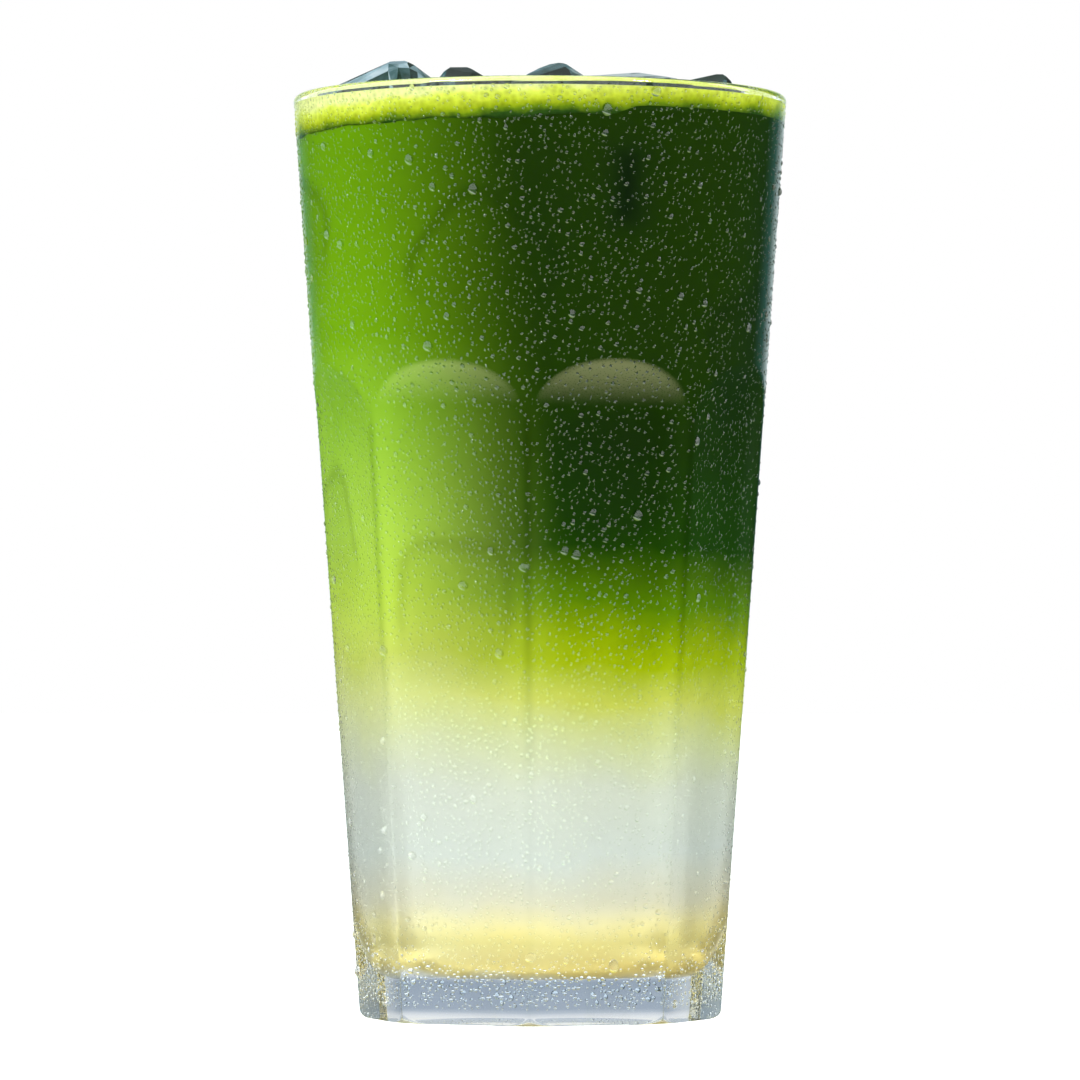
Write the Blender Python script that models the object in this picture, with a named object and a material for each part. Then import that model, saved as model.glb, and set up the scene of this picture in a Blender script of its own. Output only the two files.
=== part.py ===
"""A tall pressed-glass tumbler with eight arched panels, filled to the brim with an iced,
layered matcha drink: yellow syrup, a pale layer, green matcha and froth, with ice through
the top. Metres, +Z up, the origin under the middle of the foot. Run it with
blender --background --python part.py, or from Blender's text editor.
"""

import math

import bmesh
import bpy
from mathutils import Euler, Vector, noise

# Driving dimensions of the tumbler.
GLASS_HEIGHT = 0.140
RIM_RADIUS = 0.0375
BASE_RADIUS = 0.0275
RIM_WALL = 0.0019
PANEL_COUNT = 8
PANEL_TOP = 0.0985
ARCH_HEIGHT = 0.0080
RIDGE_WIDTH_AT_ARCH = 0.0012
WALL_AT_ARCH = 0.0010
WALL_AT_FOOT = 0.0019
FLOOR_HEIGHT = 0.0070
INNER_CORNER = 0.0120
OUTER_CORNER = 0.0015
PUNT_RADIUS = 0.0205
PUNT_HEIGHT = 0.0010

# Driving levels of the drink, from the table up.
SYRUP_TOP = 0.0150
PALE_TOP = 0.0460
MATCHA_TOP = 0.1346
FROTH_TOP = 0.1383
FROTH_CLIMB = 0.0005
GAP = 0.0003
ICE_GAP = 0.0004

# How finely the round shapes are cut into flats.
GLASS_SEGMENTS = 96
DRINK_SEGMENTS = 72
ARC_STEPS = 5
RINGS_ABOVE_ARCH = (0.0010, 0.0060)

HALF_PANEL = math.pi / PANEL_COUNT
INNER_BEND = PANEL_TOP
WALL_FOOT = FLOOR_HEIGHT + INNER_CORNER

# Each ice cube: name, edge length, centre, turn in degrees, and its seed.
ICE = (
    ("ice_left", 0.0200, (-0.0226, 0.0022, 0.1331), (65, -19, -20), 3),
    ("ice_front_left", 0.0165, (-0.0105, -0.0198, 0.1319), (43, 31, 13), 11),
    ("ice_back", 0.0205, (0.0014, 0.0183, 0.1332), (39, 38, 77), 19),
    ("ice_front_right", 0.0180, (0.0133, -0.0151, 0.1330), (-27, 78, 89), 27),
    ("ice_right", 0.0135, (0.0243, 0.0060, 0.1353), (72, 40, 57), 35),
)


def outer_radius(z):
    """The turned outside wall, which flares evenly from the foot to the rim."""
    return BASE_RADIUS + (RIM_RADIUS - BASE_RADIUS) * z / GLASS_HEIGHT


def panel_distance(z):
    """How far a panel's flat lies from the axis, leaving a narrow ridge beside it at the arch."""
    share = max(0.0, z) / PANEL_TOP
    ridge_angle = share * RIDGE_WIDTH_AT_ARCH / 2 / outer_radius(PANEL_TOP)
    return outer_radius(z) * math.cos(HALF_PANEL - ridge_angle)


def inner_radius(z, inset=0.0):
    """The inside wall, or a surface set in from it: a bowl-shaped foot, a straight stretch
    close behind the panels, and another that flares faster up to the thin rim.
    """
    at_bend = panel_distance(INNER_BEND) - WALL_AT_ARCH
    at_foot = panel_distance(WALL_FOOT) - WALL_AT_FOOT
    at_rim = RIM_RADIUS - RIM_WALL
    if z < WALL_FOOT:
        bowl = INNER_CORNER - inset
        return at_foot - INNER_CORNER + math.sqrt(max(0.0, bowl**2 - (WALL_FOOT - z) ** 2))
    if z < INNER_BEND:
        share = (z - WALL_FOOT) / (INNER_BEND - WALL_FOOT)
        return at_foot + (at_bend - at_foot) * share - inset
    share = (z - INNER_BEND) / (GLASS_HEIGHT - INNER_BEND)
    return at_bend + (at_rim - at_bend) * share - inset


def arc(centre_r, centre_z, radius, start, end, steps=ARC_STEPS):
    """Points (r, z) on a round corner, from one angle to another in degrees."""
    angles = [math.radians(start + (end - start) * i / steps) for i in range(steps + 1)]
    return [(centre_r + radius * math.cos(a), centre_z + radius * math.sin(a)) for a in angles]


def inside_heights(low, high):
    """The levels between two heights at which the inside wall turns."""
    bowl = [z for _, z in arc(0.0, WALL_FOOT, INNER_CORNER, -90, 0, 2 * ARC_STEPS)]
    return [z for z in bowl + [INNER_BEND] if low < z < high]


def glass_profile():
    """The turned tumbler's outline from the middle of the punt, outside and in, to its floor."""
    punt = [
        (PUNT_RADIUS * i / ARC_STEPS, PUNT_HEIGHT * (1 - (i / ARC_STEPS) ** 2))
        for i in range(ARC_STEPS + 1)
    ]
    corner_r = outer_radius(OUTER_CORNER) - OUTER_CORNER
    corner = arc(corner_r, OUTER_CORNER, OUTER_CORNER, -90, 0)
    lip = RIM_WALL / 2
    lip_z = GLASS_HEIGHT - lip
    rim = arc(RIM_RADIUS - lip, lip_z, lip, 0, 180, 2 * ARC_STEPS)
    wall = [(outer_radius(PANEL_TOP + up), PANEL_TOP + up) for up in RINGS_ABOVE_ARCH]
    heights = inside_heights(FLOOR_HEIGHT, GLASS_HEIGHT)
    inside = [(inner_radius(z), z) for z in reversed(heights)]
    floor = [(inner_radius(FLOOR_HEIGHT), FLOOR_HEIGHT), (0.0, FLOOR_HEIGHT)]
    return punt + corner + wall + rim + inside + floor


def drink_profile(bottom, top):
    """A layer's outline from the axis out and up, following the inside of the glass at a gap."""
    heights = [bottom] + inside_heights(bottom, top) + [top]
    wall = [(inner_radius(z, GAP), z) for z in heights]
    return [(0.0, bottom)] + wall + [(0.0, top)]


def froth_profile():
    """The froth's outline: a flat underside, and a top that climbs a little at the wall."""
    low_z, edge_z, rings = MATCHA_TOP + GAP, FROTH_TOP + FROTH_CLIMB, 10
    top = []
    for i in range(rings + 1):
        share = 1 - i / rings
        top.append((inner_radius(edge_z, GAP) * share, FROTH_TOP + FROTH_CLIMB * share**8))
    return [(0.0, low_z), (inner_radius(low_z, GAP), low_z)] + top


def turned_mesh(name, profile, segments):
    """Spins an outline of (r, z) points once round the Z axis into one closed mesh."""
    bm = bmesh.new()
    verts = [bm.verts.new((r, 0.0, z)) for r, z in profile]
    edges = [bm.edges.new(pair) for pair in zip(verts, verts[1:])]
    bmesh.ops.spin(
        bm,
        geom=verts + edges,
        cent=(0, 0, 0),
        axis=(0, 0, 1),
        angle=math.tau,
        steps=segments,
        use_merge=True,
    )
    bmesh.ops.remove_doubles(bm, verts=bm.verts, dist=1e-6)
    bmesh.ops.recalc_face_normals(bm, faces=bm.faces)
    mesh = bpy.data.meshes.new(name)
    bm.to_mesh(mesh)
    bm.free()
    return mesh


def material(name, colour, roughness, transmission=0.0, ior=1.45):
    """A plain Principled finish in linear colour."""
    finish = bpy.data.materials.new(name)
    finish.use_nodes = True
    shader = finish.node_tree.nodes["Principled BSDF"]
    shader.inputs["Base Color"].default_value = (*colour, 1.0)
    shader.inputs["Roughness"].default_value = roughness
    shader.inputs["Metallic"].default_value = 0.0
    shader.inputs["Transmission Weight"].default_value = transmission
    shader.inputs["IOR"].default_value = ior
    finish.diffuse_color = (*colour, 1.0)
    return finish


def add_object(mesh, finish, parent, smooth_below=30):
    """Links a named piece, with its finish, smooth apart from edges sharper than an angle."""
    mesh.materials.append(finish)
    mesh.shade_smooth()
    mesh.set_sharp_from_angle(angle=math.radians(smooth_below))
    piece = bpy.data.objects.new(mesh.name, mesh)
    bpy.context.scene.collection.objects.link(piece)
    piece.parent = parent
    return piece


def hide_as_cutter(piece, group):
    """Keeps a cutter out of the render, in the collection that a Boolean reads."""
    piece.hide_render = True
    piece.display_type = "WIRE"
    group.objects.link(piece)


def cut(piece, group):
    """Takes everything in a collection out of a piece."""
    boolean = piece.modifiers.new("cut", "BOOLEAN")
    boolean.operation = "DIFFERENCE"
    boolean.solver = "EXACT"
    boolean.operand_type = "COLLECTION"
    boolean.collection = group


def panel_cutter_mesh():
    """The bar that presses one panel: flat down the wall, scooped out to the wall at its arch."""
    low_z, beyond, reach, half_width = -0.002, 0.0015, 0.046, 0.0165
    steps = 10
    full_depth = outer_radius(PANEL_TOP) - panel_distance(PANEL_TOP - ARCH_HEIGHT)
    outline = [(panel_distance(low_z), low_z)]
    for i in range(steps + 1):
        below = ARCH_HEIGHT * (1 - i / steps)
        z = PANEL_TOP - below
        eased = 1 - (1 - below / ARCH_HEIGHT) ** 2
        flat = outer_radius(z) - panel_distance(z)
        outline.append((outer_radius(z) - flat * eased, z))
    slope = 2 * full_depth / ARCH_HEIGHT
    outline.append((outer_radius(PANEL_TOP) + slope * beyond, PANEL_TOP + beyond))
    outline += [(reach, PANEL_TOP + beyond), (reach, low_z)]

    bm = bmesh.new()
    side = bm.faces.new([bm.verts.new((r, -half_width, z)) for r, z in outline])
    grown = bmesh.ops.extrude_face_region(bm, geom=[side])
    moved = [v for v in grown["geom"] if isinstance(v, bmesh.types.BMVert)]
    bmesh.ops.translate(bm, verts=moved, vec=(0, 2 * half_width, 0))
    bmesh.ops.recalc_face_normals(bm, faces=bm.faces)
    mesh = bpy.data.meshes.new("panel_cutter")
    bm.to_mesh(mesh)
    bm.free()
    return mesh


def make_glass(parent, finish):
    """The turned tumbler with its eight panels cut, a ridge between two of them facing -Y."""
    glass = add_object(turned_mesh("glass", glass_profile(), GLASS_SEGMENTS), finish, parent)
    cutters = bpy.data.collections.new("panel_cutters")
    mesh = panel_cutter_mesh()
    for i in range(PANEL_COUNT):
        cutter = bpy.data.objects.new(f"panel_cutter_{i + 1}", mesh)
        cutter.rotation_euler.z = math.tau * (i + 0.5) / PANEL_COUNT - math.pi / 2
        cutter.parent = parent
        hide_as_cutter(cutter, cutters)
    bpy.context.scene.collection.children.link(cutters)
    cut(glass, cutters)


def smooth_shift(point, most):
    """A shift that varies smoothly from place to place, up to about most each way."""
    return most * Vector([noise.noise(point + Vector((0, 0, 7 * axis))) for axis in range(3)])


def ice_mesh(name, edge, seed):
    """A half-melted cube: tapered from its tray, round at the edges and a little uneven."""
    taper, rounding, unevenness = 0.10, 0.17, 0.035
    bm = bmesh.new()
    bmesh.ops.create_cube(bm, size=edge)
    for v in bm.verts:
        v.co.xy *= 1 - taper * (v.co.z / edge + 0.5)
    bmesh.ops.bevel(
        bm,
        geom=list(bm.edges),
        offset=edge * rounding,
        offset_type="OFFSET",
        segments=3,
        profile=0.5,
        affect="EDGES",
        clamp_overlap=True,
    )
    offset = Vector((seed, 2 * seed, 3 * seed))
    for v in bm.verts:
        v.co += smooth_shift(v.co / edge * 1.6 + offset, edge * unevenness)
    bmesh.ops.triangulate(bm, faces=bm.faces)
    bmesh.ops.recalc_face_normals(bm, faces=bm.faces)
    mesh = bpy.data.meshes.new(name)
    bm.to_mesh(mesh)
    bm.free()
    return mesh


def make_ice(parent, finish):
    """The floating cubes, and a slightly larger copy of each that makes room in the drink."""
    pockets = bpy.data.collections.new("ice_pockets")
    for name, edge, centre, turn, seed in ICE:
        cube = add_object(ice_mesh(name, edge, seed), finish, parent, smooth_below=40)
        cube.location = centre
        cube.rotation_euler = Euler([math.radians(a) for a in turn])
        pocket = bpy.data.objects.new(f"{name}_pocket", cube.data)
        pocket.location = cube.location
        pocket.rotation_euler = cube.rotation_euler
        pocket.scale = [1 + 2 * ICE_GAP / edge] * 3
        pocket.parent = parent
        hide_as_cutter(pocket, pockets)
    bpy.context.scene.collection.children.link(pockets)
    return pockets


def make_drink(parent, pockets):
    """Four layers, each up to the level of the one above, cut round the ice where it reaches."""
    layers = (
        ("syrup_layer", FLOOR_HEIGHT + GAP, SYRUP_TOP, (0.80, 0.62, 0.20), 0.12),
        ("pale_layer", SYRUP_TOP + GAP, PALE_TOP, (0.66, 0.76, 0.66), 0.15),
        ("matcha_layer", PALE_TOP + GAP, MATCHA_TOP, (0.10, 0.24, 0.01), 0.30),
    )
    for name, bottom, top, colour, roughness in layers:
        finish = material(name, colour, roughness, transmission=0.3, ior=1.33)
        mesh = turned_mesh(name, drink_profile(bottom, top), DRINK_SEGMENTS)
        layer = add_object(mesh, finish, parent)
    cut(layer, pockets)


def make_froth(parent, pockets, finish):
    """The froth on top, its upper face gently uneven with bubbles that have merged."""
    mesh = turned_mesh("froth", froth_profile(), DRINK_SEGMENTS)
    swell, scale = 0.00045, 130.0
    for v in mesh.vertices:
        if v.co.z > MATCHA_TOP + 4 * GAP and v.co.xy.length < inner_radius(FROTH_TOP) - 4 * GAP:
            v.co.z += swell * noise.noise(v.co * scale)
    cut(add_object(mesh, finish, parent), pockets)


def main():
    for old in list(bpy.data.objects):
        bpy.data.objects.remove(old)
    whole = bpy.data.objects.new("iced_matcha", None)
    bpy.context.scene.collection.objects.link(whole)
    make_glass(whole, material("clear_glass", (0.90, 0.96, 0.96), 0.02, 1.0, 1.52))
    pockets = make_ice(whole, material("ice", (0.72, 0.84, 0.86), 0.06, 0.9, 1.31))
    make_drink(whole, pockets)
    make_froth(whole, pockets, material("froth", (0.62, 0.66, 0.10), 0.55))


main()
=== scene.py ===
"""The looks of an iced, layered matcha drink in a tall pressed-glass tumbler.

The glass, the drink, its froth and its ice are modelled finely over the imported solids, and
the cold glass is covered in condensation. Then come the finishes, a plain pale floor, soft
studio light and a camera at the photograph's angle. Metres throughout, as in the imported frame.
"""

import math

import bmesh
import bpy
import numpy as np
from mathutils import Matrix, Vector, noise


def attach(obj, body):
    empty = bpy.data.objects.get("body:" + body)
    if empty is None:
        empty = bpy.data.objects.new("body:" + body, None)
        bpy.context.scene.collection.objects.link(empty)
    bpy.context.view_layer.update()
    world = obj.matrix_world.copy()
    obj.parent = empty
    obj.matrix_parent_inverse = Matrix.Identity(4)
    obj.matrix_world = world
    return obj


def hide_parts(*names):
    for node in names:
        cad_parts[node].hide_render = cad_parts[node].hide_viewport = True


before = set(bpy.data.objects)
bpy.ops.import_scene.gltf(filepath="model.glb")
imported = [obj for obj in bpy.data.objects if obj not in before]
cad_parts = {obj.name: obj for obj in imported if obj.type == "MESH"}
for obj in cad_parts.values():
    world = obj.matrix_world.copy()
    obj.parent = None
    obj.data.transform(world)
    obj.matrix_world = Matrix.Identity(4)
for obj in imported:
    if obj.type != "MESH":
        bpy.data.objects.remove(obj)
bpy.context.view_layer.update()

MM = 0.001

# The tumbler's dimensions, as in the part's source.
GLASS_HEIGHT = 140.0 * MM
RIM_RADIUS = 37.5 * MM
BASE_RADIUS = 27.5 * MM
RIM_WALL = 1.9 * MM
PANEL_COUNT = 8
PANEL_TOP = 98.5 * MM
ARCH_HEIGHT = 8.0 * MM
RIDGE_WIDTH_AT_ARCH = 1.2 * MM
WALL_AT_ARCH = 1.0 * MM
WALL_AT_FOOT = 1.9 * MM
FLOOR_HEIGHT = 7.0 * MM
INNER_CORNER = 12.0 * MM
OUTER_CORNER = 1.5 * MM
PUNT_RADIUS = 20.5 * MM
PUNT_HEIGHT = 1.0 * MM
HALF_PANEL = math.pi / PANEL_COUNT
WALL_FOOT = FLOOR_HEIGHT + INNER_CORNER
DRINK_TOP = 136.0 * MM
FROTH_FOOT = 134.4 * MM
FROTH_TOP = 138.3 * MM
FROTH_CLIMB = 0.5 * MM

# How softly the press leaves the edges of the panels, and how deep the drink reaches into
# the inside wall so that no gap shows.
PRESSED_EDGE = 0.28 * MM
INTO_WALL = 0.12 * MM

# The way to the light that each drop gathers into a crescent on its far side.
LAMP_WAY = (0.55, -0.45, 0.7)

# The drops, largest first: name, count, smallest and largest foot radius in mm, sides, rings,
# and how far they sag. They all meet the glass at the contact angle of water on glass that
# has been handled.
DROP_KINDS = (
    ("large_drops", 130, 0.58, 0.92, 16, 10, 0.2),
    ("medium_drops", 900, 0.38, 0.5, 10, 8, 0.1),
    ("common_drops", 5200, 0.29, 0.36, 7, 5, 0.0),
    ("lesser_drops", 7400, 0.23, 0.29, 7, 5, 0.0),
    ("small_drops", 8800, 0.17, 0.23, 6, 5, 0.0),
    ("tiny_drops", 3800, 0.1, 0.16, 5, 4, 0.0),
)
CONTACT_ANGLE = math.radians(60)

# The lamps: name, azimuth from -Y towards +X and elevation in degrees, distance, width and
# height in metres, brightness, tint, and whether the wet glass mirrors it.
LAMPS = (
    ("left_lamp", -46, 44, 1.0, 0.26, 0.26, 19.0, "#FFFFFF", True),
    ("right_lamp", 60, 45, 1.0, 0.1, 0.1, 50.0, "#FFFFFF", True),
    ("front_soft_box", -20, 50, 1.2, 1.2, 0.8, 1.1, "#FFFFFF", False),
    ("right_strip", 112, 25, 1.1, 0.2, 0.7, 4.0, "#DDF0FF", True),
    ("top_light", 0, 90, 1.6, 1.2, 1.2, 0.8, "#FFFFFF", True),
)

# How bright the sunlit table is in mirrorings, against a white of one.
TABLE_BRIGHTNESS = 5.5

# Ice sunk in the drink that shows dimly through the wall: azimuth from -Y towards +X, height,
# half-width, half-height, tilt, and how dark its body and its edges are. In degrees and mm.
SUNK_ICE = (
    (-24, 61, 9.0, 10.5, -4, 0.14, 0.16),
    (26, 81, 9.5, 9.0, 6, 0.42, 0.1),
    (-12, 112, 9.5, 9.5, 48, 0.06, 0.26),
    (25, 124, 1.9, 5.2, 0, 1.1, 0.0),
    (3, 122, 6.5, 8.0, 8, 0.14, 0.06),
    (72, 100, 9.0, 9.0, 20, 0.2, 0.2),
    (118, 74, 9.5, 9.0, -12, 0.25, 0.2),
    (150, 110, 8.5, 9.5, 30, 0.2, 0.3),
    (-168, 68, 10.0, 9.0, 10, 0.2, 0.25),
    (-128, 96, 9.0, 9.0, -25, 0.15, 0.3),
    (-84, 72, 9.0, 10.0, 15, 0.12, 0.2),
    (-78, 118, 8.0, 8.0, -20, 0.12, 0.25),
)

# Round the glass, ridges lie at whole eighths of a turn from -Y, and the spin is finer there.
AROUND = 360
RIDGE_CROWDING = 0.55


# Shapes of the tumbler
def turned_radius(z):
    """The outside wall before its panels are pressed in."""
    return BASE_RADIUS + (RIM_RADIUS - BASE_RADIUS) * z / GLASS_HEIGHT


def flat_distance(z):
    """How far the middle of a panel's flat lies from the axis."""
    share = np.maximum(0.0, z) / PANEL_TOP
    ridge_angle = share * RIDGE_WIDTH_AT_ARCH / 2 / turned_radius(PANEL_TOP)
    return turned_radius(z) * np.cos(HALF_PANEL - ridge_angle)


def pressed_radius(angle, z, turned):
    """The outside wall once pressed: the nearer of the turned wall and the panel, blended."""
    below = (PANEL_TOP - z) / ARCH_HEIGHT
    eased = np.where(below < 1.0, 1 - (1 - below) ** 2, 1.0)
    depth = (turned_radius(z) - flat_distance(z)) * eased
    from_middle = np.mod(angle + math.pi / 2, 2 * HALF_PANEL) - HALF_PANEL
    panel = (turned_radius(z) - depth) / np.cos(from_middle)
    overlap = np.maximum(PRESSED_EDGE - np.abs(turned - panel), 0.0)
    return np.minimum(turned, panel) - overlap**2 / (4 * PRESSED_EDGE)


def inner_radius(z, inset=0.0):
    """The inside wall, or a surface set in from it: a bowl-shaped foot, a straight stretch
    close behind the panels, and another that flares faster up to the thin rim.
    """
    at_bend = float(flat_distance(PANEL_TOP)) - WALL_AT_ARCH
    at_foot = float(flat_distance(WALL_FOOT)) - WALL_AT_FOOT
    at_rim = RIM_RADIUS - RIM_WALL
    if z < WALL_FOOT:
        bowl = INNER_CORNER - inset
        return at_foot - INNER_CORNER + math.sqrt(max(0.0, bowl**2 - (WALL_FOOT - z) ** 2))
    if z < PANEL_TOP:
        share = (z - WALL_FOOT) / (PANEL_TOP - WALL_FOOT)
        return at_foot + (at_bend - at_foot) * share - inset
    share = (z - PANEL_TOP) / (GLASS_HEIGHT - PANEL_TOP)
    return at_bend + (at_rim - at_bend) * share - inset


def arc(centre_r, centre_z, radius, start, end, steps):
    """Points (r, z) on a round corner, from one angle to another in degrees."""
    angles = [math.radians(start + (end - start) * i / steps) for i in range(steps + 1)]
    return [(centre_r + radius * math.cos(a), centre_z + radius * math.sin(a)) for a in angles]


def spread(low, high, steps):
    """Evenly spaced numbers from low to high, both ends among them."""
    return [low + (high - low) * i / steps for i in range(steps + 1)]


def inside_profile(inset, top):
    """The inside from the middle of the floor, up the bowl and the wall, set in by an amount."""
    bowl_r = inner_radius(WALL_FOOT) - INNER_CORNER
    floor_z = FLOOR_HEIGHT + inset
    floor = [(bowl_r * i / 4, floor_z) for i in range(4)]
    bowl = arc(bowl_r, WALL_FOOT, INNER_CORNER - inset, -90, 0, 18)
    return floor + bowl + [(inner_radius(z, inset), z) for z in spread(22 * MM, top, 110)]


def glass_profile():
    """The outline from the middle of the punt, outside and in, to the middle of the floor."""
    rings = 8
    punt = [
        (PUNT_RADIUS * i / rings, PUNT_HEIGHT * (1 - (i / rings) ** 2)) for i in range(rings + 1)
    ]
    corner_r = turned_radius(OUTER_CORNER) - OUTER_CORNER
    foot = [(r, 0.0) for r in spread(PUNT_RADIUS + 0.6 * MM, corner_r - 0.4 * MM, 6)]
    corner = arc(corner_r, OUTER_CORNER, OUTER_CORNER, -90, 0, 12)
    heights = spread(2.5 * MM, 88 * MM, 30) + spread(89 * MM, 101 * MM, 48)
    heights += spread(104 * MM, 138 * MM, 10)
    wall = [(turned_radius(z), z) for z in heights]
    lip = RIM_WALL / 2
    rim = arc(RIM_RADIUS - lip, GLASS_HEIGHT - lip, lip, 0, 180, 14)
    return punt + foot + corner + wall + rim + inside_profile(0.0, 138 * MM)[::-1]


def turned_mesh(name, profile, steps):
    """Spins an outline of (r, z) points once round the Z axis into one closed mesh."""
    bm = bmesh.new()
    verts = [bm.verts.new((r, 0.0, z)) for r, z in profile]
    edges = [bm.edges.new(pair) for pair in zip(verts, verts[1:])]
    bmesh.ops.spin(
        bm,
        geom=verts + edges,
        cent=(0, 0, 0),
        axis=(0, 0, 1),
        angle=math.tau,
        steps=steps,
        use_merge=True,
    )
    bmesh.ops.remove_doubles(bm, verts=bm.verts, dist=1e-6)
    bmesh.ops.recalc_face_normals(bm, faces=bm.faces)
    mesh = bpy.data.meshes.new(name)
    bm.to_mesh(mesh)
    bm.free()
    mesh.shade_smooth()
    return mesh


def get_points(mesh):
    """The mesh's vertices as rows of x, y, z."""
    points = np.empty(len(mesh.vertices) * 3)
    mesh.vertices.foreach_get("co", points)
    return points.reshape(-1, 3)


def set_points(mesh, points):
    """Moves the mesh's vertices to new places."""
    mesh.vertices.foreach_set("co", points.ravel())
    mesh.update()


def add_piece(mesh, finishes, slot, *nodes):
    """Links a piece that rides with the glass and, where nodes are named, stands for them."""
    for finish in finishes:
        mesh.materials.append(finish)
    piece = bpy.data.objects.new(mesh.name, mesh)
    bpy.context.scene.collection.objects.link(piece)
    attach(piece, "root")
    if nodes:
        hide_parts(*nodes)
    return piece


def mark(mesh, name, values):
    """Gives the mesh a number at every vertex, for its finish to read."""
    mesh.attributes.new(name, "FLOAT", "POINT").data.foreach_set("value", values.ravel())


def make_glass(finishes):
    """The tumbler: turned, crowded towards its ridges, then pressed into eight arched panels.
    The attribute says how near a point is to a ridge, most under the arches, and sets the
    painted shade along the ridges.
    """
    shade_width = 0.8 * MM
    mesh = turned_mesh("tumbler", glass_profile(), AROUND)
    points = get_points(mesh)
    radius = np.hypot(points[:, 0], points[:, 1])
    angle = np.arctan2(points[:, 1], points[:, 0])
    ridge_wave = np.sin(PANEL_COUNT * (angle + math.pi / 2))
    angle = angle - RIDGE_CROWDING / PANEL_COUNT * ridge_wave
    inside = np.array([inner_radius(max(z, FLOOR_HEIGHT)) for z in points[:, 2]])
    outer_wall = radius > np.where(points[:, 2] < FLOOR_HEIGHT, PUNT_RADIUS, inside + 0.3 * MM)
    pressed = pressed_radius(angle, points[:, 2], radius)
    radius = np.where(outer_wall, np.minimum(radius, pressed), radius)
    points[:, 0] = radius * np.cos(angle)
    points[:, 1] = radius * np.sin(angle)
    set_points(mesh, points)
    from_ridge = (np.mod(angle + math.pi / 2 + HALF_PANEL, 2 * HALF_PANEL) - HALF_PANEL) * radius
    pressed_part = np.clip((PANEL_TOP - 5 * MM - points[:, 2]) / (6 * MM), 0, 1)
    pressed_part *= np.clip((points[:, 2] - 30 * MM) / (30 * MM), 0.15, 1)
    # How strong the painted shade along the ridges is at each point.
    mark(mesh, "ridge", outer_wall * pressed_part * np.exp(-((from_ridge / shade_width) ** 2)))
    return add_piece(mesh, finishes, "clear_glass", "glass")


# The drink
def drink_profile():
    """The drink's outline, reaching just into the floor and the wall of the glass."""
    edge_r = inner_radius(DRINK_TOP, -INTO_WALL)
    top = [(edge_r * i / 8, DRINK_TOP) for i in range(7, -1, -1)]
    return inside_profile(-INTO_WALL, DRINK_TOP) + top


def sunk_ice(points):
    """How far ice that touches the wall from inside darkens each point, from 0 to 1: its body
    evenly, and its rounded edges more, apart from the lower one.
    """
    blur, edge_width, fade = 1.3 * MM, 1.1 * MM, 6 * MM
    angle = np.arctan2(points[:, 1], points[:, 0])
    radius = np.hypot(points[:, 0], points[:, 1])
    shade = np.zeros(len(points))
    for azimuth, z, half_width, half_height, tilt, body, edge in SUNK_ICE:
        gap = np.mod(angle + math.pi / 2 - math.radians(azimuth) + math.pi, math.tau) - math.pi
        aside, above = gap * radius, points[:, 2] - z * MM
        turn = math.radians(tilt)
        across = np.abs(aside * math.cos(turn) + above * math.sin(turn)) - half_width * MM
        along = np.abs(above * math.cos(turn) - aside * math.sin(turn)) - half_height * MM
        corner = min(half_width, half_height) * 0.55 * MM
        beyond = np.hypot(np.maximum(across + corner, 0), np.maximum(along + corner, 0))
        within = np.minimum(np.maximum(across + corner, along + corner), 0)
        outside = beyond + within - corner
        fill = 1 / (1 + np.exp(outside / blur))
        line = np.exp(-((outside / edge_width) ** 2)) * np.clip(1 + above / fade, 0, 1)
        shade = np.maximum(shade, body * fill + edge * line)
    return np.clip(shade, 0, 1)


def make_drink(finishes):
    """The syrup, the pale layer and the matcha in one body, as they blend into one another."""
    mesh = turned_mesh("layered_drink", drink_profile(), 288)
    mark(mesh, "sunk_ice", sunk_ice(get_points(mesh)))
    return add_piece(mesh, finishes, "matcha", "syrup_layer", "pale_layer", "matcha_layer")


def froth_profile():
    """The froth's outline: a band down the wall, and a top that climbs to it."""
    reach = INTO_WALL + 0.03 * MM
    edge_z, rings = FROTH_TOP + FROTH_CLIMB, 46
    foot_r = inner_radius(FROTH_FOOT) * 0.97
    under = [(0.0, FROTH_FOOT + 0.6 * MM), (foot_r, FROTH_FOOT + 0.3 * MM)]
    band = [(inner_radius(z, -reach), z) for z in spread(FROTH_FOOT, edge_z - 0.05 * MM, 12)]
    top = []
    for i in range(rings + 1):
        share = 1 - i / rings
        top.append((inner_radius(edge_z, -reach) * share, FROTH_TOP + FROTH_CLIMB * share**20))
    return under + band + top


def make_froth(finishes):
    """Fine foam, its lower edge uneven where it meets the drink, its top low with bubbles."""
    mesh = turned_mesh("matcha_froth", froth_profile(), 288)
    points = get_points(mesh)
    for i, point in enumerate(points):
        where = Vector(point)
        from_axis = math.hypot(point[0], point[1])
        low = (138.2 * MM - point[2]) / (3.8 * MM)
        if low > 0.05 and from_axis > 30 * MM:
            wave = 0.5 * MM * noise.noise(where * 95) + 0.2 * MM * noise.noise(where * 400)
            points[i, 2] += low * (wave + 0.025 * point[0])
        if point[2] > FROTH_TOP - 0.1 * MM and from_axis < 34.6 * MM:
            mounds, bubbles = noise.noise(where * 130), noise.noise(where * 700)
            points[i, 2] += 0.35 * MM * mounds + 0.12 * MM * bubbles
    set_points(mesh, points)
    return add_piece(mesh, finishes, "froth", "froth")


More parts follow.
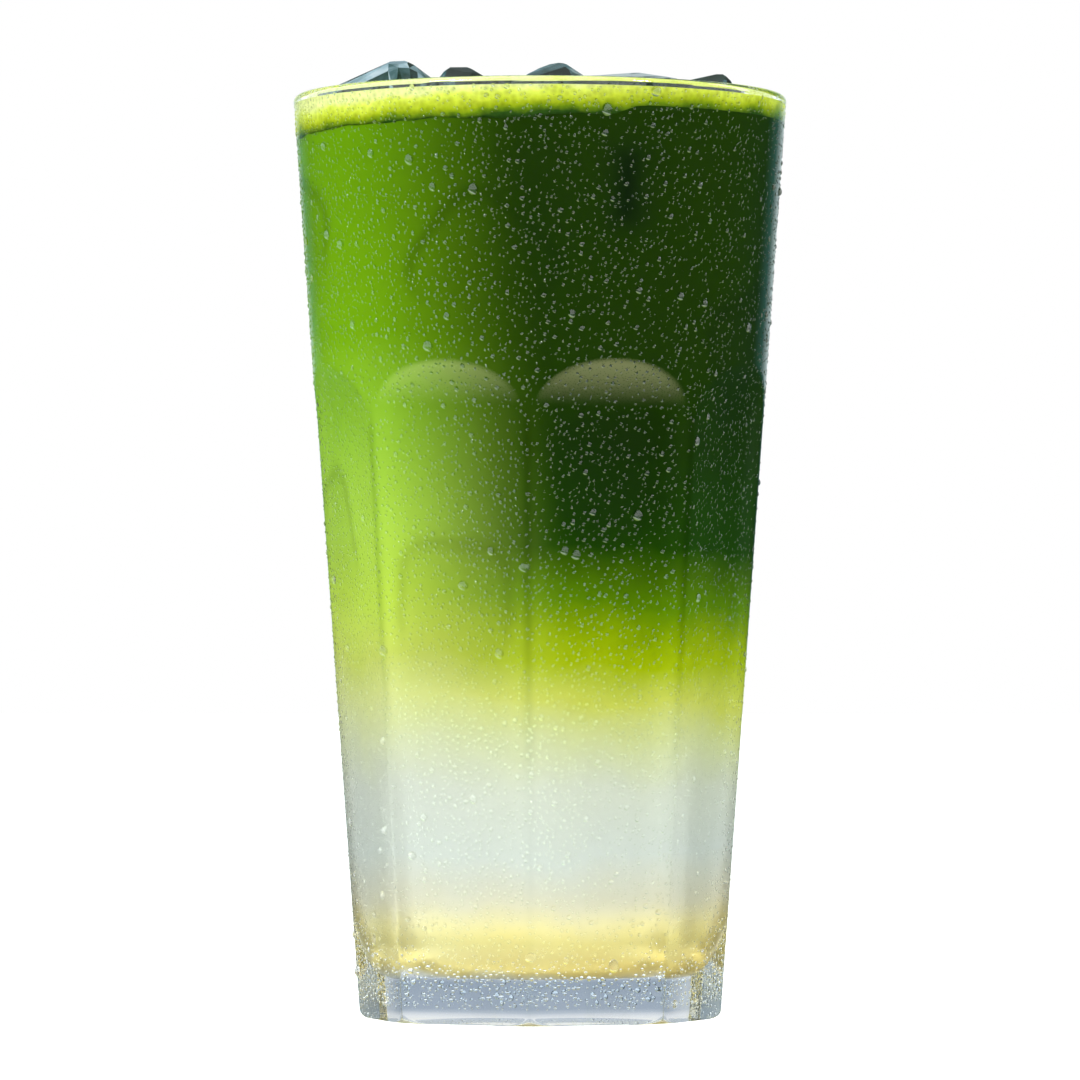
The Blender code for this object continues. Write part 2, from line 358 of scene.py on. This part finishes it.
# The ice
def make_ice(finishes):
    """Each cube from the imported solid's own form, its corners chipped flat and edges softened.
    The attribute is a number for each facet, for the finish to shade it by.
    """
    random = np.random.default_rng(5)
    chips = 9
    for node in ("ice_left", "ice_front_left", "ice_back", "ice_front_right", "ice_right"):
        bm = bmesh.new()
        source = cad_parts[node]
        bm.from_mesh(source.data)
        bm.transform(source.matrix_world)
        bmesh.ops.remove_doubles(bm, verts=bm.verts, dist=1e-6)
        centre = sum((v.co for v in bm.verts), Vector()) / len(bm.verts)
        for _ in range(chips):
            way = Vector(random.normal(size=3))
            way.z = abs(way.z)
            way.normalize()
            reach = max((v.co - centre).dot(way) for v in bm.verts)
            cut = bmesh.ops.bisect_plane(
                bm,
                geom=bm.verts[:] + bm.edges[:] + bm.faces[:],
                plane_co=centre + way * (reach - random.uniform(0.3, 0.8) * MM),
                plane_no=way,
                clear_outer=True,
            )
            edges = [e for e in cut["geom_cut"] if isinstance(e, bmesh.types.BMEdge)]
            bmesh.ops.contextual_create(bm, geom=edges)
        mesh = bpy.data.meshes.new(node + "_cube")
        bm.to_mesh(mesh)
        bm.free()
        mesh.shade_smooth()
        mesh.set_sharp_from_angle(angle=math.radians(32))
        facets = mesh.attributes.new("facet", "FLOAT", "FACE")
        facets.data.foreach_set("value", random.uniform(0, 1, len(mesh.polygons)))
        cube = add_piece(mesh, finishes, "ice", node)
        softened = cube.modifiers.new("softened_edges", "BEVEL")
        softened.width = 0.22 * MM
        softened.segments = 2
        softened.angle_limit = math.radians(18)


# The condensation
def drop_template(sides, rings):
    """A drop of unit foot radius, cut from a ball at its contact angle and closed below."""
    ball = 1 / math.sin(CONTACT_ANGLE)
    bm = bmesh.new()
    bmesh.ops.create_uvsphere(bm, u_segments=sides, v_segments=rings, radius=ball)
    bmesh.ops.translate(bm, verts=bm.verts, vec=(0, 0, -ball * math.cos(CONTACT_ANGLE)))
    cut = bmesh.ops.bisect_plane(
        bm,
        geom=bm.verts[:] + bm.edges[:] + bm.faces[:],
        plane_co=(0, 0, 0),
        plane_no=(0, 0, 1),
        clear_inner=True,
    )
    rim = [e for e in cut["geom_cut"] if isinstance(e, bmesh.types.BMEdge)]
    bmesh.ops.contextual_create(bm, geom=rim)
    bmesh.ops.triangulate(bm, faces=bm.faces)
    bmesh.ops.recalc_face_normals(bm, faces=bm.faces)
    bm.verts.index_update()
    points = np.array([v.co[:] for v in bm.verts])
    corners = np.array([[v.index for v in f.verts] for f in bm.faces])
    bm.free()
    return points, corners


def surface(angle, z):
    """Points on the glass's outside wall."""
    radius = pressed_radius(angle, z, turned_radius(z))
    return np.stack([radius * np.cos(angle), radius * np.sin(angle), z], axis=1)


def scatter(count, smallest, largest, taken, random):
    """Places for drops of one kind, none touching an earlier one, as (angle, z, radius).
    They lie closer together on the left, as fewer tries are skipped there.
    """
    cell, mean_radius = 1.2 * MM, 33 * MM
    skipped_on_right, tries_per_drop, clearance = 0.45, 8, 1.08
    columns = int(math.tau * mean_radius / cell)
    placed = []
    tries = 0
    while len(placed) < count and tries < tries_per_drop * count:
        tries += 1
        angle = random.uniform(0, math.tau)
        if random.random() < skipped_on_right * (0.5 + 0.5 * math.cos(angle)):
            continue
        z = random.uniform(2.5, 138.6) * MM
        radius = random.uniform(smallest, largest) * MM
        column, row = int(angle / math.tau * columns), int(z / cell)
        scale = turned_radius(z)
        near = [
            other
            for i in (-1, 0, 1)
            for j in (-1, 0, 1)
            for other in taken.get(((column + i) % columns, row + j), ())
        ]
        clear = True
        for other_angle, other_z, other_radius in near:
            gap = (angle - other_angle + math.pi) % math.tau - math.pi
            if math.hypot(gap * scale, z - other_z) < (radius + other_radius) * clearance:
                clear = False
                break
        if clear:
            placed.append((angle, z, radius))
            taken.setdefault((column, row), []).append(placed[-1])
    return np.array(placed)


def unit(vectors):
    """The same directions at length one."""
    return vectors / np.linalg.norm(vectors, axis=-1, keepdims=True)


def join_drops(name, places, template, sag, finishes, random):
    """One mesh of many drops, each seated a little way into the glass. The attribute says how
    far towards the side away from the light, and a little lower, each point of a drop lies,
    from 0 to 1.
    """
    shape, corners = template
    angle, z, radius = places.T
    step = 1e-5
    foot = surface(angle, z)
    along = unit(surface(angle + step, z) - surface(angle - step, z))
    up = unit(surface(angle, z + step) - surface(angle, z - step))
    out = unit(np.cross(along, up))
    turn = random.uniform(0, math.tau, len(places))[:, None]
    stretch = 1 + random.uniform(-0.12, 0.12, len(places))[:, None]
    across = shape[None, :, 0] * np.cos(turn) - shape[None, :, 1] * np.sin(turn)
    rise = shape[None, :, 0] * np.sin(turn) + shape[None, :, 1] * np.cos(turn)
    across, rise = across * stretch, rise / stretch
    height = shape[None, :, 2] * (1 - sag * rise)
    sunk = np.minimum(0.08 * MM, 0.25 * radius)[:, None, None]
    spot = foot[:, None, :] - out[:, None, :] * sunk
    size = radius[:, None, None]
    points = spot + size * (
        across[..., None] * along[:, None, :]
        + rise[..., None] * up[:, None, :]
        + height[..., None] * out[:, None, :]
    )
    lamp, lowered = np.array(LAMP_WAY), 0.35
    away = unit(np.stack([-along @ lamp, -up @ lamp - lowered], axis=1))
    gathered = 0.5 + 0.5 * (across * away[:, :1] + rise * away[:, 1:])
    faces = corners[None] + (np.arange(len(places)) * len(shape))[:, None, None]
    faces = faces.reshape(-1, 3)
    mesh = bpy.data.meshes.new(name)
    mesh.vertices.add(points.size // 3)
    mesh.vertices.foreach_set("co", points.ravel())
    mesh.loops.add(faces.size)
    mesh.loops.foreach_set("vertex_index", faces.ravel().astype(np.int32))
    mesh.polygons.add(len(faces))
    mesh.polygons.foreach_set("loop_start", np.arange(0, faces.size, 3, dtype=np.int32))
    underside = (np.abs(shape[corners][:, :, 2]) < 1e-6).all(axis=1)
    kinds = np.tile(underside, len(places)).astype(np.int32)
    mesh.polygons.foreach_set("material_index", kinds)
    mesh.update(calc_edges=True)
    mark(mesh, "gathered", np.clip(gathered, 0, 1))
    mesh.shade_smooth()
    mesh.set_sharp_from_angle(angle=math.radians(50))
    return add_piece(mesh, finishes, "clear_glass")


def make_condensation(finishes):
    """Six sizes of drop over the whole outside, the large ones placed first."""
    random = np.random.default_rng(12)
    taken = {}
    for name, count, smallest, largest, sides, rings, sag in DROP_KINDS:
        places = scatter(count, smallest, largest, taken, random)
        template = drop_template(sides, rings)
        join_drops(name, places, template, sag, finishes, random)


# Finishes
def linear(hex_colour):
    """An sRGB hex colour as linear red, green, blue and full alpha."""
    parts = [int(hex_colour[i : i + 2], 16) / 255 for i in (1, 3, 5)]
    return [c / 12.92 if c <= 0.04045 else ((c + 0.055) / 1.055) ** 2.4 for c in parts] + [1.0]


def add_node(tree, kind, inputs=None, stops=None, **settings):
    """Adds a node with its settings, its colour stops, and its input values or links."""
    made = tree.nodes.new(kind)
    for name, value in settings.items():
        setattr(made, name, value)
    if stops:
        elements = made.color_ramp.elements
        for i, (position, stop_colour) in enumerate(stops):
            element = elements[i] if i < len(elements) else elements.new(position)
            element.position = position
            element.color = stop_colour
    for socket, value in (inputs or {}).items():
        if isinstance(value, bpy.types.NodeSocket):
            tree.links.new(value, made.inputs[socket])
        else:
            made.inputs[socket].default_value = value
    return made


def new_finish(name):
    """A material with an empty Principled shader: its tree and shader node."""
    finish = bpy.data.materials.new(name)
    finish.use_nodes = True
    return finish, finish.node_tree, finish.node_tree.nodes["Principled BSDF"]


def let_light_through(tree, shader, tint):
    """Lets lamp light pass a clear wall without being bent, so what is behind stays lit."""
    path = add_node(tree, "ShaderNodeLightPath")
    clear = add_node(tree, "ShaderNodeBsdfTransparent", {"Color": tint})
    mix = add_node(
        tree,
        "ShaderNodeMixShader",
        {0: path.outputs["Is Shadow Ray"], 1: shader.outputs[0], 2: clear.outputs[0]},
    )
    tree.links.new(mix.outputs[0], tree.nodes["Material Output"].inputs["Surface"])


def soda_lime_glass():
    """Pressed soda-lime glass, fire-polished: clear, sharp reflections, faintly cool. Low in the
    thick base, on the front and the back, a steel-blue band of painted shade stands for the dark
    that the base shows through its whole width, and the ridges, thicker than the panels, get a
    little painted shade.
    """
    finish, tree, shader = new_finish("pressed_soda_lime_glass")
    place = add_node(tree, "ShaderNodeTexCoord")
    axes = add_node(tree, "ShaderNodeSeparateXYZ", {0: place.outputs["Object"]})
    level = add_node(
        tree,
        "ShaderNodeMapRange",
        {"Value": axes.outputs["Z"], "From Min": 0.0, "From Max": 10 * MM},
    )
    # A steel-blue band of painted shade, low in the thick base.
    base_band_painted_shade = add_node(
        tree,
        "ShaderNodeValToRGB",
        {0: level.outputs[0]},
        stops=[
            (0.0, linear("#F6F8F0")),
            (0.12, linear("#E8EEF4")),
            (0.2, linear("#A4B2C2")),
            (0.64, linear("#9AAABC")),
            (0.8, linear("#F6FBFC")),
        ],
    )
    depth = add_node(tree, "ShaderNodeMath", {0: axes.outputs["Y"]}, operation="ABSOLUTE")
    across = add_node(
        tree,
        "ShaderNodeMapRange",
        {"Value": depth.outputs[0], "From Min": 13 * MM, "From Max": 19 * MM},
    )
    # The painted shade band goes on the front and the back only.
    painted_band_front_and_back = add_node(
        tree,
        "ShaderNodeMix",
        {0: across.outputs[0], 6: linear("#F2F8FA"), 7: base_band_painted_shade.outputs[0]},
        data_type="RGBA",
    )
    # Painted shade along the ridges: a darker green where they lie.
    ridge = add_node(tree, "ShaderNodeAttribute", attribute_name="ridge")
    share = add_node(
        tree,
        "ShaderNodeMath",
        {0: ridge.outputs["Fac"], 1: 0.55},
        operation="MULTIPLY",
    )
    painted_ridge_shade = add_node(
        tree,
        "ShaderNodeMix",
        {0: share.outputs[0], 6: painted_band_front_and_back.outputs[2], 7: linear("#5C7A50")},
        data_type="RGBA",
    )
    tree.links.new(painted_ridge_shade.outputs[2], shader.inputs["Base Color"])
    shader.inputs["Roughness"].default_value = 0.0
    shader.inputs["IOR"].default_value = 1.52
    shader.inputs["Transmission Weight"].default_value = 1.0
    let_light_through(tree, shader, linear("#F4FAFA"))
    return finish


def water():
    """Condensed water: clear and smooth, so it bends what is behind and catches the lamps."""
    finish, tree, shader = new_finish("condensed_water")
    shader.inputs["Base Color"].default_value = linear("#FFFFFF")
    shader.inputs["Specular Tint"].default_value = linear("#646464")
    shader.inputs["Roughness"].default_value = 0.0
    shader.inputs["IOR"].default_value = 1.333
    shader.inputs["Transmission Weight"].default_value = 1.0
    let_light_through(tree, shader, linear("#FFFFFF"))
    return finish


def light_under_drops():
    """The underside of the drops: each gathers light on its far side, as a small lens does, so
    a bright crescent lies there. The rest of its foot is in shade, least where the drink is pale.
    """
    finish, tree, shader = new_finish("light_under_condensed_water")
    side = add_node(tree, "ShaderNodeAttribute", attribute_name="gathered")
    lit = add_node(
        tree,
        "ShaderNodeMapRange",
        {"Value": side.outputs["Fac"], "From Min": 0.74, "From Max": 0.84},
    )
    shade = add_node(
        tree,
        "ShaderNodeValToRGB",
        {0: side.outputs["Fac"]},
        stops=[
            (0.0, linear("#FFFFFF")),
            (0.2, linear("#BCC8A8")),
            (0.5, linear("#B0BE9C")),
            (0.66, linear("#FFFFFF")),
        ],
    )
    level = drink_level(tree)[0]
    clearer = add_node(
        tree,
        "ShaderNodeMapRange",
        {"Value": level, "From Min": 0.3, "From Max": 0.46, "To Min": 0.75, "To Max": 0.0},
    )
    milder_shade = add_node(
        tree,
        "ShaderNodeMix",
        {0: clearer.outputs[0], 6: shade.outputs[0], 7: (1, 1, 1, 1)},
        data_type="RGBA",
    )
    paler = add_node(
        tree,
        "ShaderNodeMix",
        {0: 0.22, 6: drink_colours(tree), 7: (0.66, 0.95, 0.28, 1)},
        data_type="RGBA",
    )
    colours = add_node(
        tree,
        "ShaderNodeMix",
        {0: lit.outputs[0], 6: milder_shade.outputs[2], 7: paler.outputs[2]},
        data_type="RGBA",
    )
    clear = add_node(
        tree,
        "ShaderNodeMapRange",
        {"Value": lit.outputs[0], "To Min": 1.0, "To Max": 0.05},
    )
    tree.links.new(colours.outputs[2], shader.inputs["Base Color"])
    tree.links.new(clear.outputs[0], shader.inputs["Transmission Weight"])
    shader.inputs["Specular Tint"].default_value = linear("#000000")
    shader.inputs["Roughness"].default_value = 0.0
    shader.inputs["IOR"].default_value = 1.333
    let_light_through(tree, shader, linear("#FFFFFF"))
    return finish


def drink_level(tree):
    """The height in the drink from 0 to 1, stirred in clouds of about 17 mm and a little
    slanted, and the place in X.
    """
    place = add_node(tree, "ShaderNodeTexCoord")
    axes = add_node(tree, "ShaderNodeSeparateXYZ", {0: place.outputs["Object"]})
    slanted = add_node(
        tree,
        "ShaderNodeMapRange",
        {"Value": axes.outputs["Z"], "From Min": 30 * MM, "From Max": 60 * MM, "To Max": 0.06},
    )
    slant = add_node(
        tree,
        "ShaderNodeMath",
        {0: axes.outputs["X"], 1: slanted.outputs[0], 2: axes.outputs["Z"]},
        operation="MULTIPLY_ADD",
    )
    clouds = add_node(
        tree,
        "ShaderNodeTexNoise",
        {"Vector": place.outputs["Object"], "Scale": 60.0, "Detail": 3.0, "Roughness": 0.5},
    )
    height = add_node(
        tree,
        "ShaderNodeMath",
        {0: clouds.outputs["Fac"], 1: 8 * MM, 2: slant.outputs[0]},
        operation="MULTIPLY_ADD",
    )
    level = add_node(
        tree,
        "ShaderNodeMapRange",
        {"Value": height.outputs[0], "From Max": 140 * MM},
    )
    return level.outputs[0], axes.outputs["X"]


def layer_ramp(tree, level, side):
    """The drink's colours from the syrup up, on side 1, the left, paler partly as painted light,
    or on side 2, the right, darker where more matcha has sunk and partly as painted shade.
    Heights are in mm above the table.
    """
    layers = (
        (5, "#EEF4FA", "#EEF4FA"),
        (8, "#F8E48E", "#F8DC78"),
        (13, "#FAEAA0", "#F8E28A"),
        (18, "#F0E8CE", "#EEE4C6"),
        (25, "#EAECE3", "#E8EAE0"),
        (35, "#ECECDF", "#ECECD8"),
        (42, "#EAEBC4", "#E8EAAE"),
        (48, "#E4E69C", "#DADC5C"),
        (54, "#CED668", "#ACBC00"),
        (63, "#C2D850", "#5A8000"),
        (72, "#B6D64E", "#1C4000"),
        (88, "#98C236", "#183200"),
        (102, "#78A80C", "#1A3200"),
        (134, "#6A9A08", "#1A3200"),
    )
    return add_node(
        tree,
        "ShaderNodeValToRGB",
        {0: level},
        stops=[((layer[0] + 4) / 140, linear(layer[side])) for layer in layers],
    )


def drink_colours(tree):
    """The drink's colours by height, blended across from its left side to its right, sooner
    higher up. The paler left and the darker right are partly painted light and shade.
    """
    level, sideways = drink_level(tree)
    leaning = add_node(
        tree,
        "ShaderNodeMath",
        {0: level, 1: 14 * MM, 2: sideways},
        operation="MULTIPLY_ADD",
    )
    share = add_node(
        tree,
        "ShaderNodeMapRange",
        {"Value": leaning.outputs[0], "From Min": -22 * MM, "From Max": 14 * MM},
        interpolation_type="SMOOTHSTEP",
    )
    # Paler on the left and darker on the right: partly painted light and shade, partly more
    # matcha sunk on the right.
    blend = add_node(
        tree,
        "ShaderNodeMix",
        {
            0: share.outputs[0],
            6: layer_ramp(tree, level, 1).outputs[0],
            7: layer_ramp(tree, level, 2).outputs[0],
        },
        data_type="RGBA",
    )
    return blend.outputs[2]


def layered_matcha():
    """Matcha stirred over milk and syrup: powder in suspension, so cloudy, not clear."""
    finish, tree, shader = new_finish("layered_matcha_drink")
    clear = add_node(
        tree,
        "ShaderNodeValToRGB",
        {0: drink_level(tree)[0]},
        stops=[
            ((z + 4) / 140, (v, v, v, 1))
            for z, v in ((12, 0.85), (18, 0.7), (36, 0.6), (46, 0.3), (58, 0.0))
        ],
    )
    ice = add_node(tree, "ShaderNodeAttribute", attribute_name="sunk_ice")
    shaded = add_node(
        tree,
        "ShaderNodeMix",
        {0: ice.outputs["Fac"], 6: drink_colours(tree), 7: linear("#0A1C06")},
        data_type="RGBA",
    )
    tree.links.new(shaded.outputs[2], shader.inputs["Base Color"])
    tree.links.new(clear.outputs[0], shader.inputs["Transmission Weight"])
    shader.inputs["Roughness"].default_value = 0.3
    shader.inputs["IOR"].default_value = 1.34
    shader.inputs["Specular IOR Level"].default_value = 0.05
    return finish


def matcha_foam():
    """Whisked matcha foam: tiny bubbles, so it scatters light and looks paler than the tea,
    and darkens downwards where it drains into it. It is paler still towards the left by painted
    light. Its bubbles are drawn about 0.9 mm apart, coarser than the finest real ones, so that
    they show.
    """
    finish, tree, shader = new_finish("whisked_matcha_foam")
    place = add_node(tree, "ShaderNodeTexCoord")
    axes = add_node(tree, "ShaderNodeSeparateXYZ", {0: place.outputs["Object"]})
    bubbles = add_node(
        tree,
        "ShaderNodeTexVoronoi",
        {"Vector": place.outputs["Object"], "Scale": 1100.0},
    )
    patches = add_node(
        tree,
        "ShaderNodeTexNoise",
        {"Vector": place.outputs["Object"], "Scale": 170.0, "Detail": 5.0, "Roughness": 0.6},
    )
    # Painted light: the froth is paler towards the left.
    height_with_painted_left_light = add_node(
        tree,
        "ShaderNodeMath",
        {0: axes.outputs["X"], 1: -0.04, 2: axes.outputs["Z"]},
        operation="MULTIPLY_ADD",
    )
    uneven = add_node(
        tree,
        "ShaderNodeMath",
        {0: patches.outputs["Fac"], 1: 3.0 * MM, 2: height_with_painted_left_light.outputs[0]},
        operation="MULTIPLY_ADD",
    )
    drained = add_node(
        tree,
        "ShaderNodeMapRange",
        {"Value": uneven.outputs[0], "From Min": 136.1 * MM, "From Max": 140.2 * MM},
    )
    colours = add_node(
        tree,
        "ShaderNodeValToRGB",
        {0: drained.outputs[0]},
        stops=[
            (0.0, linear("#26460A")),
            (0.18, linear("#648004")),
            (0.34, linear("#9AAA10")),
            (0.56, linear("#C4CE34")),
            (0.8, linear("#DAE258")),
            (1.0, linear("#E6E898")),
        ],
    )
    dotted = add_node(
        tree,
        "ShaderNodeMapRange",
        {"Value": bubbles.outputs["Distance"], "From Max": 0.8, "To Min": 0.78, "To Max": 1.12},
    )
    shaded = add_node(
        tree,
        "ShaderNodeVectorMath",
        {0: colours.outputs[0], 3: dotted.outputs[0]},
        operation="SCALE",
    )
    tree.links.new(shaded.outputs[0], shader.inputs["Base Color"])
    bump = add_node(
        tree,
        "ShaderNodeBump",
        {"Height": bubbles.outputs["Distance"], "Strength": 0.4, "Distance": 0.3 * MM},
    )
    tree.links.new(bump.outputs[0], shader.inputs["Normal"])
    shader.inputs["Roughness"].default_value = 0.5
    shader.inputs["Specular IOR Level"].default_value = 0.08
    return finish


def clear_ice():
    """Half-melted ice: wet outside, paler where it stands up clear, dark with the tea that shows
    through it below, and darker on the right. Painted light makes it pale and steely on the left.
    Each facet bends other light to the eye, so each has its own shade, over clouds and hollows of
    4 to 5 mm.
    """
    finish, tree, shader = new_finish("half_melted_ice")
    place = add_node(tree, "ShaderNodeTexCoord")
    axes = add_node(tree, "ShaderNodeSeparateXYZ", {0: place.outputs["Object"]})
    cloud = add_node(
        tree,
        "ShaderNodeTexNoise",
        {"Vector": place.outputs["Object"], "Scale": 190.0, "Detail": 3.0, "Distortion": 0.6},
    )
    risen = add_node(
        tree,
        "ShaderNodeMapRange",
        {"Value": axes.outputs["Z"], "From Min": 139 * MM, "From Max": 146 * MM},
    )
    # Painted light: paler on the left and darker to the right.
    painted_light_on_left = add_node(
        tree,
        "ShaderNodeMapRange",
        {
            "Value": axes.outputs["X"],
            "From Min": -14 * MM,
            "From Max": -18 * MM,
            "To Min": -0.14,
            "To Max": 0.14,
        },
    )
    height_and_painted_side_light = add_node(
        tree,
        "ShaderNodeMath",
        {0: risen.outputs[0], 1: 0.1, 2: painted_light_on_left.outputs[0]},
        operation="MULTIPLY_ADD",
    )
    facet = add_node(tree, "ShaderNodeAttribute", attribute_name="facet")
    by_facet = add_node(
        tree,
        "ShaderNodeMath",
        {0: facet.outputs["Fac"], 1: 0.4, 2: height_and_painted_side_light.outputs[0]},
        operation="MULTIPLY_ADD",
    )
    paleness = add_node(
        tree,
        "ShaderNodeMath",
        {0: cloud.outputs["Fac"], 1: 0.5, 2: by_facet.outputs[0]},
        operation="MULTIPLY_ADD",
    )
    colours = add_node(
        tree,
        "ShaderNodeValToRGB",
        {0: paleness.outputs[0]},
        stops=[
            (0.3, linear("#0C1C10")),
            (0.46, linear("#20382C")),
            (0.6, linear("#4A6A6E")),
            (0.74, linear("#9CB8C4")),
            (0.9, linear("#DCE8EE")),
        ],
    )
    tree.links.new(colours.outputs[0], shader.inputs["Base Color"])
    facets = add_node(
        tree,
        "ShaderNodeTexVoronoi",
        {"Vector": place.outputs["Object"], "Scale": 230.0},
    )
    bump = add_node(
        tree,
        "ShaderNodeBump",
        {"Height": facets.outputs["Distance"], "Strength": 0.5, "Distance": 1.2 * MM},
    )
    tree.links.new(bump.outputs[0], shader.inputs["Normal"])
    shader.inputs["Roughness"].default_value = 0.04
    shader.inputs["IOR"].default_value = 1.31
    shader.inputs["Transmission Weight"].default_value = 0.25
    return finish


# The setting
def way_to(azimuth, elevation):
    """The direction at an azimuth from -Y towards +X and an elevation, both in degrees."""
    around, up = math.radians(azimuth), math.radians(elevation)
    flat = math.cos(up)
    return Vector((math.sin(around) * flat, -math.cos(around) * flat, math.sin(up)))


def add_lamp(name, azimuth, elevation, distance, width, height, brightness, tint, sharp):
    """A soft box that faces the drink; brightness is its radiance against a white of one. Only
    a sharp one is mirrored by the wet glass; the others stand behind a diffuser.
    """
    lamp = bpy.data.lights.new(name, "AREA")
    lamp.shape = "RECTANGLE"
    lamp.size = width
    lamp.size_y = height
    lamp.energy = brightness * 4 * width * height
    lamp.color = linear(tint)[:3]
    away = way_to(azimuth, elevation)
    box = bpy.data.objects.new(name, lamp)
    box.location = Vector((0, 0, 0.07)) + away * distance
    box.rotation_euler = away.to_track_quat("Z", "Y").to_euler()
    box.visible_camera = False
    box.visible_glossy = sharp
    box.visible_transmission = False
    bpy.context.scene.collection.objects.link(box)


def make_world():
    """White to the camera. What is seen through the glass and water is a bright room. What they
    mirror, and what lights the froth, is a dark one, paler behind and overhead. Two sunlit
    patches of table low in front are in the mirrorings alone, where the arches pick them up.
    """
    world = bpy.data.worlds.new("studio")
    bpy.context.scene.world = world
    world.use_nodes = True
    tree = world.node_tree
    ground = tree.nodes["Background"]
    way = add_node(tree, "ShaderNodeTexCoord")
    axes = add_node(tree, "ShaderNodeSeparateXYZ", {0: way.outputs["Generated"]})
    behind = add_node(
        tree,
        "ShaderNodeMapRange",
        {"Value": axes.outputs["Y"], "From Min": -1.0, "From Max": 1.0},
    )
    seen_through = add_node(
        tree,
        "ShaderNodeValToRGB",
        {0: behind.outputs[0]},
        stops=[
            (0.0, linear("#A4B0B6")),
            (0.2, linear("#B4C0C6")),
            (0.36, linear("#F0F4F6")),
            (0.6, linear("#FFFFFF")),
        ],
    )
    mirrored = add_node(
        tree,
        "ShaderNodeValToRGB",
        {0: behind.outputs[0]},
        stops=[
            (0.0, linear("#0A0C0E")),
            (0.6, linear("#14181A")),
            (0.88, linear("#14282C")),
            (0.95, linear("#4A787E")),
            (1.0, linear("#DCECEE")),
        ],
    )
    path = add_node(tree, "ShaderNodeLightPath")
    walls = add_node(
        tree,
        "ShaderNodeMix",
        {
            0: path.outputs["Is Transmission Ray"],
            6: mirrored.outputs[0],
            7: seen_through.outputs[0],
        },
        data_type="RGBA",
    )
    overhead = add_node(
        tree,
        "ShaderNodeMapRange",
        {"Value": axes.outputs["Z"], "From Min": 0.35, "From Max": 0.9},
    )
    open_above = add_node(
        tree,
        "ShaderNodeMath",
        {0: 1.0, 1: path.outputs["Is Transmission Ray"]},
        operation="SUBTRACT",
    )
    roof = add_node(
        tree,
        "ShaderNodeMath",
        {0: overhead.outputs[0], 1: open_above.outputs[0]},
        operation="MULTIPLY",
    )
    roofed = add_node(
        tree,
        "ShaderNodeMix",
        {0: roof.outputs[0], 6: walls.outputs[2], 7: linear("#E4ECF0")},
        data_type="RGBA",
    )
    below = add_node(
        tree,
        "ShaderNodeMapRange",
        {
            "Value": axes.outputs["Z"],
            "From Min": -0.2,
            "From Max": -1.2,
            "To Max": TABLE_BRIGHTNESS,
        },
        interpolation_type="SMOOTHSTEP",
    )
    sideways = add_node(tree, "ShaderNodeMath", {0: axes.outputs["X"]}, operation="ABSOLUTE")
    folded = add_node(
        tree,
        "ShaderNodeCombineXYZ",
        {"X": sideways.outputs[0], "Y": axes.outputs["Y"], "Z": axes.outputs["Z"]},
    )
    toward = add_node(
        tree,
        "ShaderNodeVectorMath",
        {0: folded.outputs[0], 1: way_to(56, -38)},
        operation="DOT_PRODUCT",
    )
    patch = add_node(
        tree,
        "ShaderNodeMapRange",
        {"Value": toward.outputs["Value"], "From Min": 0.8, "From Max": 0.92},
        interpolation_type="SMOOTHSTEP",
    )
    shown = add_node(
        tree,
        "ShaderNodeMath",
        {0: patch.outputs[0], 1: path.outputs["Is Glossy Ray"]},
        operation="MULTIPLY",
    )
    table = add_node(
        tree,
        "ShaderNodeMath",
        {0: below.outputs[0], 1: shown.outputs[0]},
        operation="MULTIPLY",
    )
    warm_table = add_node(
        tree,
        "ShaderNodeVectorMath",
        {0: (1.0, 1.0, 0.5), 3: table.outputs[0]},
        operation="SCALE",
    )
    lit = add_node(
        tree,
        "ShaderNodeMix",
        {0: 1.0, 6: roofed.outputs[2], 7: warm_table.outputs[0]},
        data_type="RGBA",
        blend_type="ADD",
    )
    mix = add_node(
        tree,
        "ShaderNodeMix",
        {0: path.outputs["Is Camera Ray"], 6: lit.outputs[2], 7: (1, 1, 1, 1)},
        data_type="RGBA",
    )
    tree.links.new(mix.outputs[2], ground.inputs["Color"])
    ground.inputs["Strength"].default_value = 1.0


def make_floor():
    """A plain pale floor that runs out to white."""
    bm = bmesh.new()
    bmesh.ops.create_grid(bm, x_segments=1, y_segments=1, size=6.0)
    mesh = bpy.data.meshes.new("studio_floor")
    bm.to_mesh(mesh)
    bm.free()
    finish, tree, shader = new_finish("matt_white_paint")
    shader.inputs["Base Color"].default_value = linear("#F4F4F2")
    shader.inputs["Roughness"].default_value = 0.9
    shader.inputs["Emission Color"].default_value = linear("#FFFFFF")
    shader.inputs["Emission Strength"].default_value = 1.0
    mesh.materials.append(finish)
    floor = bpy.data.objects.new("studio_floor", mesh)
    bpy.context.scene.collection.objects.link(floor)
    floor.visible_glossy = False


def make_camera():
    """A long lens a little to the right of the front ridge, low down and tilted up a degree."""
    around, distance, height = math.radians(3.2), 0.987, 0.0535
    lens, tilt_up = 216.3, 1.103
    camera = bpy.data.cameras.new("camera")
    camera.lens = lens
    camera.sensor_width = 36.0
    camera.clip_end = 50.0
    view = bpy.data.objects.new("camera", camera)
    view.location = (distance * math.sin(around), -distance * math.cos(around), height)
    view.rotation_euler = (math.radians(90 + tilt_up), 0.0, around)
    bpy.context.scene.collection.objects.link(view)
    bpy.context.scene.camera = view


def main():
    """The setting first, then the pieces, whose drops come last."""
    make_camera()
    make_world()
    make_floor()
    for lamp in LAMPS:
        add_lamp(*lamp)
    make_glass([soda_lime_glass()])
    make_drink([layered_matcha()])
    make_froth([matcha_foam()])
    make_ice([clear_ice()])
    make_condensation([water(), light_under_drops()])
    bpy.context.scene.view_settings.view_transform = "Standard"


main()
